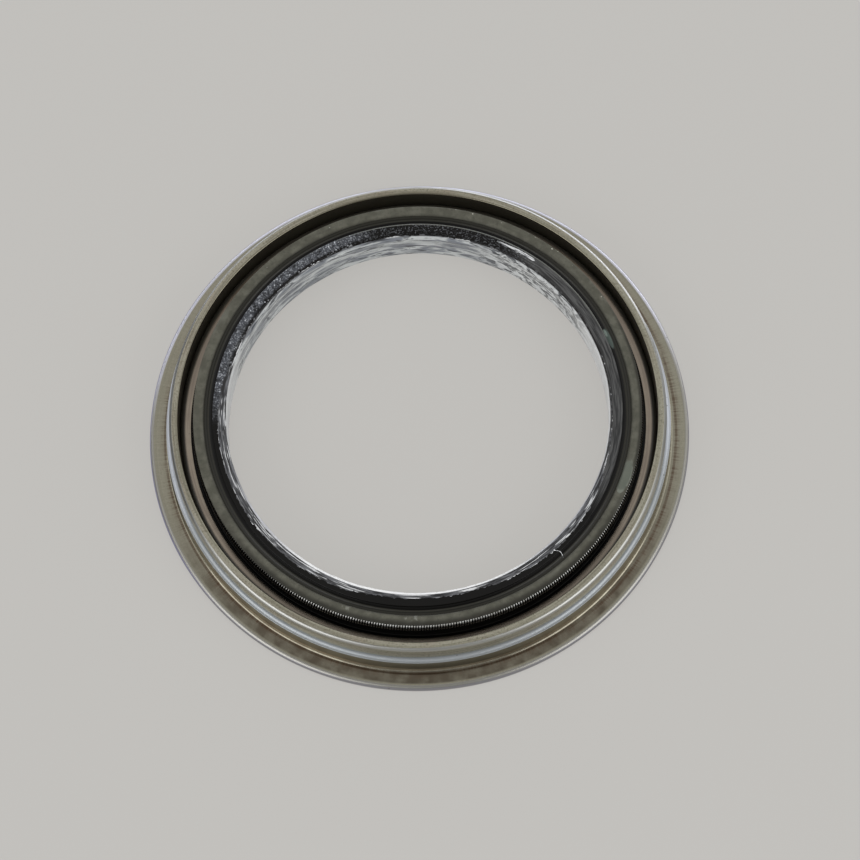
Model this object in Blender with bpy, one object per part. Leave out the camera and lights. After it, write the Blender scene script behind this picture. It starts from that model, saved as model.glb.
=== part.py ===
"""Oil pump seal: a flanged steel case, a pressed-in steel insert, a moulded rubber lip and its garter spring.

The seal lies on the back of its flange, which is on z = 0, with its axis on Z and its spring side up.
Lengths are in metres. Every part is a turned ring, drawn as an outline of (radius, height) corners.
"""

import math

import bmesh
import bpy

MM = 0.001

# Fit between two parts that touch on the real seal
FIT_GAP = 0.3 * MM

# Shaft that the lip seals
SHAFT_DIAMETER = 50.0 * MM

# Outer case, one flanged steel sleeve, turned down to a thinner wall above its press-fit band
CASE_HEIGHT = 7.7 * MM
RIM_WALL = 1.2 * MM
RIM_ROUNDING = 0.45 * MM
PRESS_FIT_STEP = 0.6 * MM
PRESS_FIT_TOP = 4.35 * MM
STEP_FILLET = 0.55 * MM
FLANGE_THICKNESS = 1.2 * MM
FLANGE_REACH = 2.5 * MM
FLANGE_FILLET = 0.35 * MM
FLANGE_EDGE_ROUNDING = 0.5 * MM

# Insert, a thin steel ring with its web up and its leg down along the sleeve
INSERT_SHEET = 0.6 * MM
INSERT_INSIDE_BEND = 0.2 * MM
INSERT_LEG_INSET = 1.0 * MM
WEB_CLEARANCE = 0.6 * MM

# Annular pocket between the lip's head and the sleeve
POCKET_WIDTH = 2.1 * MM

# Front of the lip, from the bore outward
FRONT_CONE_WIDTH = 0.25 * MM
LAND_WIDTH = 1.5 * MM
TROUGH_WIDTH = 1.15 * MM
END_FACE_WIDTH = 1.3 * MM
END_FACE_RISE = 0.68 * MM
LAND_SLOPE_DROP = 0.25 * MM
TROUGH_DEPTH = 0.35 * MM
TROUGH_RIDGE_HEIGHT = 0.2 * MM
TROUGH_RIDGE_WIDTH = 0.3 * MM
LIP_EDGE_ROUNDING = 0.12 * MM

# Spring groove and the flexing neck below it
RETAINER_THICKNESS = 0.38 * MM
RETAINER_EDGE = 0.25 * MM
SHOULDER_THICKNESS = 0.3 * MM
FLEX_LENGTH = 0.75 * MM
FLEX_THICKNESS = 1.3 * MM
NECK_FILLET = 0.35 * MM
GROOVE_UPPER_ANGLE = math.radians(75)
GROOVE_LOWER_ANGLE = math.radians(-78)

# Bore of the lip, with its sealing edge, grease recess and dust lip
SEALING_EDGE_LEAD = 0.25 * MM
RECESS_DEPTH = 0.45 * MM
ROOT_STEP = 0.15 * MM
FOOT_THICKNESS = 0.75 * MM
DUST_LIP_DROP = 0.8 * MM
DUST_LIP_BASE = 1.1 * MM
DUST_LIP_TIP = 0.3 * MM

# Garter spring
COIL_DIAMETER = 1.6 * MM
SPRING_PROUD = 0.15 * MM

# Fineness of the turned shapes
RING_STEPS = 72
COIL_STEPS = 10
GROOVE_STEPS = 8
ARC_TOLERANCE = 0.014 * MM
SHARP_ANGLE = math.radians(50)

# Radii that follow from the sizes above, from the shaft outward
SEALING_RADIUS = SHAFT_DIAMETER / 2
BORE_FRONT_RADIUS = SEALING_RADIUS + FRONT_CONE_WIDTH
LAND_RADIUS = BORE_FRONT_RADIUS + LAND_WIDTH
END_FACE_RADIUS = LAND_RADIUS + TROUGH_WIDTH
HEAD_RADIUS = END_FACE_RADIUS + END_FACE_WIDTH
SPRING_RADIUS = HEAD_RADIUS + SPRING_PROUD - COIL_DIAMETER / 2
WEB_RADIUS = HEAD_RADIUS + WEB_CLEARANCE
SLEEVE_RADIUS = HEAD_RADIUS + POCKET_WIDTH
RIM_RADIUS = SLEEVE_RADIUS + RIM_WALL
PRESS_FIT_RADIUS = RIM_RADIUS + PRESS_FIT_STEP
FLANGE_RADIUS = PRESS_FIT_RADIUS + FLANGE_REACH
LEG_OUTER_RADIUS = SLEEVE_RADIUS - FIT_GAP
LEG_INNER_RADIUS = LEG_OUTER_RADIUS - INSERT_SHEET

# Heights that follow from the sizes above, from the lip's end face downward
GROOVE_RADIUS = COIL_DIAMETER / 2 + FIT_GAP
END_FACE_HEIGHT = CASE_HEIGHT + END_FACE_RISE
SPRING_HEIGHT = END_FACE_HEIGHT - RETAINER_THICKNESS - GROOVE_RADIUS
SHOULDER_HEIGHT = SPRING_HEIGHT - GROOVE_RADIUS - SHOULDER_THICKNESS
WEB_HEIGHT = SHOULDER_HEIGHT - FLEX_LENGTH
ROOT_HEIGHT = WEB_HEIGHT - ROOT_STEP
FOOT_TOP_HEIGHT = WEB_HEIGHT - INSERT_SHEET - FIT_GAP
FOOT_HEIGHT = FOOT_TOP_HEIGHT - FOOT_THICKNESS
DUST_LIP_HEIGHT = FOOT_HEIGHT - DUST_LIP_DROP


def clear_scene():
    """Remove whatever the open file holds."""
    for leftover in list(bpy.data.objects):
        bpy.data.objects.remove(leftover, do_unlink=True)


def make_material(name, color, roughness, metallic):
    """Return a material with the given surface."""
    material = bpy.data.materials.new(name)
    material.use_nodes = True
    shader = material.node_tree.nodes["Principled BSDF"]
    shader.inputs["Base Color"].default_value = (*color, 1.0)
    shader.inputs["Roughness"].default_value = roughness
    shader.inputs["Metallic"].default_value = metallic
    return material


def rounded(corners):
    """Turn (radius, height, rounding) corners into outline points, with an arc at each rounded corner."""
    points = []
    for index, corner in enumerate(corners):
        if corner[2] == 0:
            points.append(corner[:2])
            continue
        before = corners[index - 1]
        after = corners[(index + 1) % len(corners)]
        points.extend(corner_arc(before, corner, after))
    return points


def corner_arc(before, corner, after):
    """Return the points of the arc that rounds a corner between its two straight runs."""
    back = math.atan2(before[1] - corner[1], before[0] - corner[0])
    ahead = math.atan2(after[1] - corner[1], after[0] - corner[0])
    opening = math.remainder(ahead - back, math.tau)
    half = abs(opening) / 2
    room = min(run_room(corner, before), run_room(corner, after))
    rounding = min(corner[2], room * math.tan(half))
    to_centre = back + opening / 2
    centre = point_at(corner, to_centre, rounding / math.sin(half))
    turn = math.copysign(math.pi - abs(opening), opening)
    start = to_centre + math.pi + turn / 2
    chord_angle = 2 * math.acos(1 - ARC_TOLERANCE / rounding)
    steps = max(1, round(abs(turn) / chord_angle))
    return arc(centre, rounding, start, start - turn, steps)


def run_room(corner, neighbour):
    """Return how much of the straight run to a neighbour a corner's rounding may take."""
    run = math.dist(corner[:2], neighbour[:2])
    return run / 2 if neighbour[2] else run


def point_at(origin, angle, distance):
    """Return the point at a distance and angle from another one."""
    return (origin[0] + distance * math.cos(angle), origin[1] + distance * math.sin(angle))


def arc(centre, radius, start, end, steps):
    """Return points along an arc, both ends included."""
    angles = [start + (end - start) * step / steps for step in range(steps + 1)]
    return [point_at(centre, angle, radius) for angle in angles]


def turned_ring(name, outline, material):
    """Turn a closed (radius, height) outline about Z into a solid ring."""
    shape = bmesh.new()
    vertices = [shape.verts.new((radius, 0.0, height)) for radius, height in outline]
    edges = [
        shape.edges.new((vertex, vertices[(index + 1) % len(vertices)]))
        for index, vertex in enumerate(vertices)
    ]
    bmesh.ops.spin(
        shape,
        geom=edges,
        cent=(0.0, 0.0, 0.0),
        axis=(0.0, 0.0, 1.0),
        angle=math.tau,
        steps=RING_STEPS,
        use_merge=True,
    )
    bmesh.ops.recalc_face_normals(shape, faces=shape.faces)
    mesh = bpy.data.meshes.new(name)
    shape.to_mesh(mesh)
    shape.free()
    mesh.shade_smooth()
    mesh.set_sharp_from_angle(angle=SHARP_ANGLE)
    mesh.materials.append(material)
    ring = bpy.data.objects.new(name, mesh)
    bpy.context.scene.collection.objects.link(ring)
    return ring


def outer_case_outline():
    """Sleeve with a flat rim at the top, a wider press-fit band below it and a flange at the foot."""
    back_rounding = FLANGE_FILLET + PRESS_FIT_RADIUS - SLEEVE_RADIUS
    return rounded([
        (SLEEVE_RADIUS, CASE_HEIGHT, 0),
        (RIM_RADIUS, CASE_HEIGHT, RIM_ROUNDING),
        (RIM_RADIUS, PRESS_FIT_TOP, STEP_FILLET),
        (PRESS_FIT_RADIUS, PRESS_FIT_TOP, 0),
        (PRESS_FIT_RADIUS, FLANGE_THICKNESS, FLANGE_FILLET),
        (FLANGE_RADIUS, FLANGE_THICKNESS, FLANGE_EDGE_ROUNDING),
        (FLANGE_RADIUS, 0, FLANGE_EDGE_ROUNDING),
        (SLEEVE_RADIUS, 0, back_rounding),
    ])


def insert_outline():
    """Flat web that carries the lip, bent down into a leg that is pressed into the sleeve."""
    web_underside = WEB_HEIGHT - INSERT_SHEET
    return rounded([
        (WEB_RADIUS, WEB_HEIGHT, 0),
        (LEG_OUTER_RADIUS, WEB_HEIGHT, INSERT_INSIDE_BEND + INSERT_SHEET),
        (LEG_OUTER_RADIUS, INSERT_LEG_INSET, 0),
        (LEG_INNER_RADIUS, INSERT_LEG_INSET, 0),
        (LEG_INNER_RADIUS, web_underside, INSERT_INSIDE_BEND),
        (WEB_RADIUS, web_underside, 0),
    ])


def lip_head():
    """End face, retainer edge, groove that holds the spring and shoulder below it."""
    spring_centre = (SPRING_RADIUS, SPRING_HEIGHT)
    groove = arc(
        spring_centre,
        GROOVE_RADIUS,
        GROOVE_UPPER_ANGLE,
        GROOVE_LOWER_ANGLE + math.tau,
        GROOVE_STEPS,
    )
    shoulder_radius = groove[-1][0]
    corners = [
        (END_FACE_RADIUS, END_FACE_HEIGHT, LIP_EDGE_ROUNDING),
        (HEAD_RADIUS, END_FACE_HEIGHT, LIP_EDGE_ROUNDING),
        (HEAD_RADIUS, END_FACE_HEIGHT - RETAINER_EDGE, 0),
    ]
    corners += [(radius, height, 0) for radius, height in groove]
    corners += [(shoulder_radius, SHOULDER_HEIGHT, LIP_EDGE_ROUNDING)]
    return corners


def lip_neck_and_root():
    """Flexing neck, root bonded to the web's edge and foot under the web."""
    neck_radius = SEALING_RADIUS + RECESS_DEPTH + FLEX_THICKNESS
    root_radius = WEB_RADIUS - FIT_GAP
    foot_radius = LEG_INNER_RADIUS - FIT_GAP
    return [
        (neck_radius, SHOULDER_HEIGHT, NECK_FILLET),
        (neck_radius, ROOT_HEIGHT, NECK_FILLET),
        (root_radius, ROOT_HEIGHT, 0),
        (root_radius, FOOT_TOP_HEIGHT, 0),
        (foot_radius, FOOT_TOP_HEIGHT, 0),
        (foot_radius, FOOT_HEIGHT, LIP_EDGE_ROUNDING),
    ]


def lip_bore():
    """Dust lip at the back, grease recess and sealing edge under the spring."""
    recess_radius = SEALING_RADIUS + RECESS_DEPTH
    return [
        (SEALING_RADIUS + DUST_LIP_BASE + RECESS_DEPTH, FOOT_HEIGHT, NECK_FILLET),
        (SEALING_RADIUS + DUST_LIP_TIP, DUST_LIP_HEIGHT, 0),
        (SEALING_RADIUS, DUST_LIP_HEIGHT + DUST_LIP_TIP, 0),
        (recess_radius, FOOT_TOP_HEIGHT, NECK_FILLET),
        (recess_radius, SHOULDER_HEIGHT, NECK_FILLET),
        (SEALING_RADIUS, SPRING_HEIGHT + SEALING_EDGE_LEAD, 0),
        (BORE_FRONT_RADIUS, END_FACE_HEIGHT - LAND_SLOPE_DROP, LIP_EDGE_ROUNDING),
    ]


def lip_trough():
    """Outer edge of the glossy land, and the trough with its fine ridge before the end face."""
    trough_floor = END_FACE_HEIGHT - TROUGH_DEPTH
    trough_middle = LAND_RADIUS + TROUGH_WIDTH / 2
    ridge_top = trough_floor + TROUGH_RIDGE_HEIGHT
    return [
        (LAND_RADIUS, END_FACE_HEIGHT, 0),
        (LAND_RADIUS, trough_floor, 0),
        (trough_middle - TROUGH_RIDGE_WIDTH, trough_floor, 0),
        (trough_middle, ridge_top, 0),
        (trough_middle + TROUGH_RIDGE_WIDTH, trough_floor, 0),
        (END_FACE_RADIUS, trough_floor, 0),
    ]


def sealing_lip_outline():
    """One moulded rubber section, from its end face round to the trough in front."""
    return rounded(lip_head() + lip_neck_and_root() + lip_bore() + lip_trough())


def garter_spring_outline():
    """Round section that the spring's closed coils fill."""
    points = arc((SPRING_RADIUS, SPRING_HEIGHT), COIL_DIAMETER / 2, math.tau, 0, COIL_STEPS)
    return points[:-1]


def build_seal():
    """Build the four parts of the seal in their places."""
    case_steel = make_material("case_steel", (0.30, 0.28, 0.24), 0.35, 1.0)
    insert_steel = make_material("insert_steel", (0.32, 0.28, 0.24), 0.45, 1.0)
    lip_rubber = make_material("lip_rubber", (0.03, 0.03, 0.025), 0.6, 0.0)
    spring_steel = make_material("spring_steel", (0.45, 0.45, 0.44), 0.3, 1.0)
    turned_ring("outer_case", outer_case_outline(), case_steel)
    turned_ring("inner_case", insert_outline(), insert_steel)
    turned_ring("sealing_lip", sealing_lip_outline(), lip_rubber)
    turned_ring("garter_spring", garter_spring_outline(), spring_steel)


clear_scene()
build_seal()
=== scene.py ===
"""Looks of a used oil pump seal: bare steel case, moulded rubber lip, garter spring, oil and grease."""

import math

import bmesh
import bpy
from mathutils import Matrix, Vector, noise


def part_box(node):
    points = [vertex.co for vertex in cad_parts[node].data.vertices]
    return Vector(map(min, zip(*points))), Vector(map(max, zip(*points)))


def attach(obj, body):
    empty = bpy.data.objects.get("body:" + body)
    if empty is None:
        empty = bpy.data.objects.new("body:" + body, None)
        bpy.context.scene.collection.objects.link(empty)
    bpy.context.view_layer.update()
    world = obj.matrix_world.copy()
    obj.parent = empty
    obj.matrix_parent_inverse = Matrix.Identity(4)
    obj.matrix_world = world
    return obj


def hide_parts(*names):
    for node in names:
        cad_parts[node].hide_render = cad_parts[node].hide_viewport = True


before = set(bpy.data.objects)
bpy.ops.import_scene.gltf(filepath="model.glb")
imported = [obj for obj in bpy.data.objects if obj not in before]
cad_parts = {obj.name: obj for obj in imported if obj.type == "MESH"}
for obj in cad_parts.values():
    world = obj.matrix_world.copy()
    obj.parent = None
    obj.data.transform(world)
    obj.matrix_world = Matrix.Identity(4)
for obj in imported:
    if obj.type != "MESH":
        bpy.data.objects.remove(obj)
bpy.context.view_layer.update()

MM = 0.001

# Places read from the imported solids
_, CASE_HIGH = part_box("outer_case")
INSERT_LOW, INSERT_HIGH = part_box("inner_case")
LIP_LOW, LIP_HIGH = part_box("sealing_lip")
SPRING_LOW, SPRING_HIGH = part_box("garter_spring")
FLANGE_RADIUS = CASE_HIGH.x
RIM_HEIGHT = CASE_HIGH.z
LEG_OUTER_RADIUS = INSERT_HIGH.x
WEB_HEIGHT = INSERT_HIGH.z
LEG_END_HEIGHT = INSERT_LOW.z
FOOT_RADIUS = LIP_HIGH.x
END_FACE_HEIGHT = LIP_HIGH.z
DUST_LIP_HEIGHT = LIP_LOW.z
SPRING_OUTER_RADIUS = SPRING_HIGH.x

# Sizes of the steel case and its insert
RIM_WALL = 1.2 * MM
RIM_ROUNDING = 0.45 * MM
RIM_INNER_ROUNDING = 0.2 * MM
PRESS_FIT_RADIUS = FLANGE_RADIUS - 2.5 * MM
PRESS_FIT_TOP = 4.35 * MM
PRESS_FIT_EDGE = 0.06 * MM
RIM_RADIUS = PRESS_FIT_RADIUS - 0.6 * MM
SLEEVE_RADIUS = RIM_RADIUS - RIM_WALL
STEP_FILLET = 0.55 * MM - PRESS_FIT_EDGE
FLANGE_THICKNESS = 1.2 * MM
FLANGE_FILLET = 0.35 * MM
FLANGE_EDGE_ROUNDING = 0.5 * MM
INSERT_SHEET = 0.6 * MM
INSERT_OUTSIDE_BEND = 0.45 * MM
INSERT_INSIDE_BEND = 0.1 * MM
LEG_INNER_RADIUS = LEG_OUTER_RADIUS - INSERT_SHEET
PRESSED_RADIUS = SLEEVE_RADIUS - 0.01 * MM
FINE_ROUNDING = 0.05 * MM

# Sizes of the lip
HEAD_RADIUS = 29.28 * MM
WEB_RADIUS = 29.8 * MM
FIT_GAP = 0.3 * MM
END_FACE_RADIUS = 27.9 * MM
LAND_RADIUS = 26.75 * MM
BORE_FRONT_RADIUS = 25.25 * MM
SEALING_RADIUS = 25.0 * MM
RECESS_RADIUS = 25.45 * MM
NECK_RADIUS = 26.75 * MM
LAND_SLOPE_DROP = 0.25 * MM
TROUGH_DEPTH = 0.35 * MM
RIDGE_HEIGHT = 0.2 * MM
RIDGE_HALF_WIDTH = 0.3 * MM
LIP_EDGE_ROUNDING = 0.12 * MM
FACE_EDGE_ROUNDING = 0.3 * MM
HEAD_EDGE_ROUNDING = 0.2 * MM
LAND_EDGE_ROUNDING = 0.12 * MM
RETAINER_EDGE = 0.25 * MM
NECK_FILLET = 0.35 * MM
SHOULDER_THICKNESS = 0.3 * MM
ROOT_STEP = 0.15 * MM
FOOT_THICKNESS = 0.75 * MM
DUST_LIP_BASE = 1.1 * MM
DUST_LIP_TIP = 0.3 * MM
SEALING_EDGE_LEAD = 0.25 * MM
GROOVE_UPPER_ANGLE = math.radians(75)
GROOVE_LOWER_ANGLE = math.radians(282)
GROOVE_STEPS = 16

# Sizes of the spring
COIL_DIAMETER = 1.6 * MM
WIRE_DIAMETER = 0.32 * MM
COIL_TURNS = 531
SPRING_RADIUS = SPRING_OUTER_RADIUS - COIL_DIAMETER / 2
SPRING_SAG = 0.16 * MM
WIRE_RING_RADIUS = SPRING_RADIUS + SPRING_SAG
SPRING_HEIGHT = (SPRING_LOW.z + SPRING_HIGH.z) / 2
GROOVE_RADIUS = COIL_DIAMETER / 2 + FIT_GAP

# Fineness of the turned rings, the wound wire and the grease
RING_STEPS = 360
GREASE_RING_STEPS = 1440
POINTS_PER_TURN = 14
ARC_SEGMENTS = 6
SHARP_ANGLE = math.radians(40)

# How close points lie that count as one: on an outline, after turning it, and where they are welded
OUTLINE_POINT = 0.001 * MM
TURNED_POINT = 0.01 * MM
WELD_DISTANCE = 0.0001 * MM


def linear(hex_color):
    """Turn an sRGB hex colour into a linear RGBA one."""
    channels = [int(hex_color[i:i + 2], 16) / 255 for i in (1, 3, 5)]
    return [c / 12.92 if c <= 0.04045 else ((c + 0.055) / 1.055) ** 2.4 for c in channels] + [1.0]


def draw_outline(name, corners):
    """Draw a closed outline in the XZ plane through (radius, height, rounding) corners, and round them."""
    bpy.ops.object.select_all(action="DESELECT")
    bpy.ops.mesh.primitive_plane_add(size=MM, location=(corners[0][0], 0, corners[0][1]))
    piece = bpy.context.object
    piece.name = name
    piece.data.name = name
    bpy.ops.object.transform_apply(location=True)
    bpy.ops.object.mode_set(mode="EDIT")
    bpy.ops.mesh.select_all(action="SELECT")
    bpy.ops.mesh.merge(type="CENTER")
    for before, after in zip(corners, corners[1:]):
        step = (after[0] - before[0], 0, after[1] - before[1])
        bpy.ops.mesh.extrude_vertices_move(TRANSFORM_OT_translate={"value": step})
    select_points(piece, [corners[0], corners[-1]])
    bpy.ops.mesh.edge_face_add()
    for corner in corners:
        if corner[2]:
            select_points(piece, [corner])
            bpy.ops.mesh.bevel(offset=corner[2], segments=ARC_SEGMENTS, affect="VERTICES")
    return piece


def select_points(piece, corners):
    """Select the outline's points that lie at these corners."""
    shape = bmesh.from_edit_mesh(piece.data)
    for vertex in shape.verts:
        near = [math.hypot(vertex.co.x - c[0], vertex.co.z - c[1]) < OUTLINE_POINT for c in corners]
        vertex.select_set(any(near))
    shape.select_flush_mode()
    bmesh.update_edit_mesh(piece.data)


def turn_outline(piece, steps=RING_STEPS):
    """Spin the outline about the seal's axis into a closed ring."""
    bpy.ops.mesh.select_all(action="SELECT")
    bpy.ops.mesh.spin(steps=steps, angle=math.tau, center=(0, 0, 0), axis=(0, 0, 1))
    bpy.ops.mesh.select_all(action="SELECT")
    bpy.ops.mesh.remove_doubles(threshold=WELD_DISTANCE)
    bpy.ops.mesh.normals_make_consistent(inside=False)
    bpy.ops.object.mode_set(mode="OBJECT")
    bpy.ops.object.shade_smooth_by_angle(angle=SHARP_ANGLE)


def turned_ring(name, corners, node_name):
    """Make a turned ring that stands for a solid of the same section."""
    piece = draw_outline(name, corners)
    turn_outline(piece)
    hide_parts(node_name)
    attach(piece, "root")
    return piece


def make_case():
    """Flanged sleeve of drawn sheet steel."""
    return turned_ring(
        "flanged_steel_case",
        [
            (SLEEVE_RADIUS, RIM_HEIGHT, RIM_INNER_ROUNDING),
            (RIM_RADIUS, RIM_HEIGHT, RIM_ROUNDING),
            (RIM_RADIUS, PRESS_FIT_TOP, STEP_FILLET),
            (PRESS_FIT_RADIUS, PRESS_FIT_TOP, PRESS_FIT_EDGE),
            (PRESS_FIT_RADIUS, FLANGE_THICKNESS, FLANGE_FILLET),
            (FLANGE_RADIUS, FLANGE_THICKNESS, FLANGE_EDGE_ROUNDING),
            (FLANGE_RADIUS, 0, FLANGE_EDGE_ROUNDING),
            (SLEEVE_RADIUS, 0, FLANGE_FILLET + PRESS_FIT_RADIUS - SLEEVE_RADIUS),
        ],
        "outer_case",
    )


def make_insert():
    """Thin pressed ring that carries the lip.

    Its leg touches the sleeve, so that no light comes up between them.
    """
    underside = WEB_HEIGHT - INSERT_SHEET
    return turned_ring(
        "pressed_steel_insert",
        [
            (WEB_RADIUS, WEB_HEIGHT, FINE_ROUNDING),
            (PRESSED_RADIUS, WEB_HEIGHT, INSERT_OUTSIDE_BEND),
            (PRESSED_RADIUS, LEG_END_HEIGHT, FINE_ROUNDING),
            (LEG_INNER_RADIUS, LEG_END_HEIGHT, FINE_ROUNDING),
            (LEG_INNER_RADIUS, underside, INSERT_INSIDE_BEND),
            (WEB_RADIUS, underside, FINE_ROUNDING),
        ],
        "inner_case",
    )


def lip_corners():
    """Section of the moulded lip, from its end face round to the trough in front."""
    groove = []
    for step in range(GROOVE_STEPS + 1):
        angle = GROOVE_UPPER_ANGLE + (GROOVE_LOWER_ANGLE - GROOVE_UPPER_ANGLE) * step / GROOVE_STEPS
        radius = SPRING_RADIUS + GROOVE_RADIUS * math.cos(angle)
        height = SPRING_HEIGHT + GROOVE_RADIUS * math.sin(angle)
        groove.append((radius, height, 0))
    shoulder_height = SPRING_HEIGHT - GROOVE_RADIUS - SHOULDER_THICKNESS
    root_height = WEB_HEIGHT - ROOT_STEP
    foot_top = WEB_HEIGHT - INSERT_SHEET - FIT_GAP
    foot_height = foot_top - FOOT_THICKNESS
    trough_floor = END_FACE_HEIGHT - TROUGH_DEPTH
    trough_middle = (LAND_RADIUS + END_FACE_RADIUS) / 2
    return [
        (END_FACE_RADIUS, END_FACE_HEIGHT, FACE_EDGE_ROUNDING),
        (HEAD_RADIUS, END_FACE_HEIGHT, HEAD_EDGE_ROUNDING),
        (HEAD_RADIUS, END_FACE_HEIGHT - RETAINER_EDGE, FINE_ROUNDING),
        *groove,
        (groove[-1][0], shoulder_height, LIP_EDGE_ROUNDING),
        (NECK_RADIUS, shoulder_height, NECK_FILLET),
        (NECK_RADIUS, root_height, NECK_FILLET),
        (WEB_RADIUS - FIT_GAP, root_height, LIP_EDGE_ROUNDING),
        (WEB_RADIUS - FIT_GAP, foot_top, 0),
        (FOOT_RADIUS, foot_top, 0),
        (FOOT_RADIUS, foot_height, LIP_EDGE_ROUNDING),
        (RECESS_RADIUS + DUST_LIP_BASE, foot_height, NECK_FILLET),
        (SEALING_RADIUS + DUST_LIP_TIP, DUST_LIP_HEIGHT, 0),
        (SEALING_RADIUS, DUST_LIP_HEIGHT + DUST_LIP_TIP, 0),
        (RECESS_RADIUS, foot_top, NECK_FILLET),
        (RECESS_RADIUS, shoulder_height, NECK_FILLET),
        (SEALING_RADIUS, SPRING_HEIGHT + SEALING_EDGE_LEAD, 0),
        (BORE_FRONT_RADIUS, END_FACE_HEIGHT - LAND_SLOPE_DROP, LIP_EDGE_ROUNDING),
        (LAND_RADIUS, END_FACE_HEIGHT, LAND_EDGE_ROUNDING),
        (LAND_RADIUS, trough_floor, FINE_ROUNDING),
        (trough_middle - RIDGE_HALF_WIDTH, trough_floor, 0),
        (trough_middle, trough_floor + RIDGE_HEIGHT, FINE_ROUNDING),
        (trough_middle + RIDGE_HALF_WIDTH, trough_floor, 0),
        (END_FACE_RADIUS, trough_floor, FINE_ROUNDING),
    ]


def make_lip():
    """Moulded rubber lip."""
    return turned_ring("moulded_rubber_lip", lip_corners(), "sealing_lip")


def start_strand(name, kind, points, thickness):
    """Start a curve with a round section, and return it with its one line of points."""
    curve = bpy.data.curves.new(name, "CURVE")
    curve.dimensions = "3D"
    curve.bevel_depth = thickness / 2
    curve.bevel_resolution = 1
    line = curve.splines.new(kind)
    line.points.add(points - 1)
    return curve, line


def finish_strand(name, curve):
    """Turn the curve into a smooth mesh piece of this name."""
    strand = bpy.data.objects.new(name, curve)
    bpy.context.scene.collection.objects.link(strand)
    bpy.ops.object.select_all(action="DESELECT")
    strand.select_set(True)
    bpy.context.view_layer.objects.active = strand
    bpy.ops.object.convert(target="MESH")
    bpy.ops.object.shade_smooth()
    return bpy.context.object


def make_spring():
    """Close-wound garter spring: one wire that winds round the ring and meets itself."""
    total = COIL_TURNS * POINTS_PER_TURN
    coil_radius = (COIL_DIAMETER - WIRE_DIAMETER) / 2
    curve, wire = start_strand("garter_spring_wire", "POLY", total, WIRE_DIAMETER)
    for index, point in enumerate(wire.points):
        round_ring = math.tau * index / total
        round_coil = math.tau * index / POINTS_PER_TURN
        radius = WIRE_RING_RADIUS + coil_radius * math.cos(round_coil)
        height = SPRING_HEIGHT + coil_radius * math.sin(round_coil)
        point.co = (radius * math.cos(round_ring), radius * math.sin(round_ring), height, 1)
    wire.use_cyclic_u = True
    spring = finish_strand("garter_spring_wire", curve)
    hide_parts("garter_spring")
    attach(spring, "root")
    return spring


# The lip's surface from the land's outer corner over the sealing edge to the dust lip, where grease lies
GREASE_WAY = (
    (26.65 * MM, 8.365 * MM),
    (25.3 * MM, 8.14 * MM),
    (25.0 * MM, 7.15 * MM),
    (25.16 * MM, 6.2 * MM),
    (25.18 * MM, 4.2 * MM),
    (25.0 * MM, 2.8 * MM),
    (25.02 * MM, 2.34 * MM),
)


def on_the_way(distance, proud):
    """Return the radius and height of a point so far down the grease's way and so proud of the rubber."""
    for start, end in zip(GREASE_WAY, GREASE_WAY[1:]):
        length = math.hypot(end[0] - start[0], end[1] - start[1])
        if distance <= length or end == GREASE_WAY[-1]:
            break
        distance -= length
    along = ((end[0] - start[0]) / length, (end[1] - start[1]) / length)
    away = (along[1], -along[0])
    return (
        start[0] + along[0] * distance + away[0] * proud,
        start[1] + along[1] * distance + away[1] * proud,
    )


# Distance of the grease's front edge down its way, round the ring: (azimuth in degrees, millimetres)
GREASE_FRONT = (
    (0, 1.33),
    (20, 1.4),
    (110, 1.42),
    (155, 1.35),
    (165, 0.9),
    (175, 0.55),
    (200, 0.52),
    (245, 0.6),
    (252, 0.95),
    (270, 1.0),
    (285, 0.95),
    (295, 0.7),
    (310, 0.45),
    (325, 0.55),
    (340, 1.1),
    (360, 1.33),
)

# Places along the grease's way, and its rows of points above and below the sealing edge
GREASE_START_WAY = 1.0 * MM
SEALING_EDGE_WAY = 2.4 * MM
GREASE_END_WAY = 7.2 * MM
FRONT_ROWS = 14
BORE_ROWS = 8
# In millimetres: the film's height over the rubber, and how deep its edges are buried in it
FILM_HEIGHT = 0.085
BURIED_EDGE = 0.02
# Roll at the near edge, thickest at azimuth 250: height, place on the way and width in mm
ROLL_HEIGHT = 0.38
ROLL_WAY = 1.5
ROLL_WIDTH = 0.22
ROLL_TURN = math.radians(20)
# How soon the film reaches its full height behind its front edge, and its relief on the land
FRONT_SLOPE = 0.15 * MM
RELIEF_SLOPE = 1.6 * MM
# The grease stays just under the end face
GREASE_TOP = END_FACE_HEIGHT - 0.005 * MM
PAD_GRID_DEPTH = 0.1
FIBRE_DIAMETER = 0.1 * MM


def uneven(azimuth, across, lengthwise, crosswise):
    """Return a smooth irregular value from -1 to 1 that closes on itself round the ring."""
    place = (math.cos(azimuth) * lengthwise, math.sin(azimuth) * lengthwise, across / MM * crosswise)
    return noise.noise(Vector(place))


def grease_front(azimuth):
    """Return how far down its way the ragged front edge of the grease lies at this azimuth."""
    degrees = math.degrees(azimuth) % 360
    for (start, near), (end, far) in zip(GREASE_FRONT, GREASE_FRONT[1:]):
        if degrees <= end:
            break
    mean = near + (far - near) * (degrees - start) / (end - start)
    ragged = 0.14 * uneven(azimuth, 0, 12, 1)
    ragged += 0.2 * uneven(azimuth, 0, 45, 1)
    ragged += 0.12 * uneven(azimuth, 0, 110, 1)
    return (mean + ragged) * MM


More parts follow.
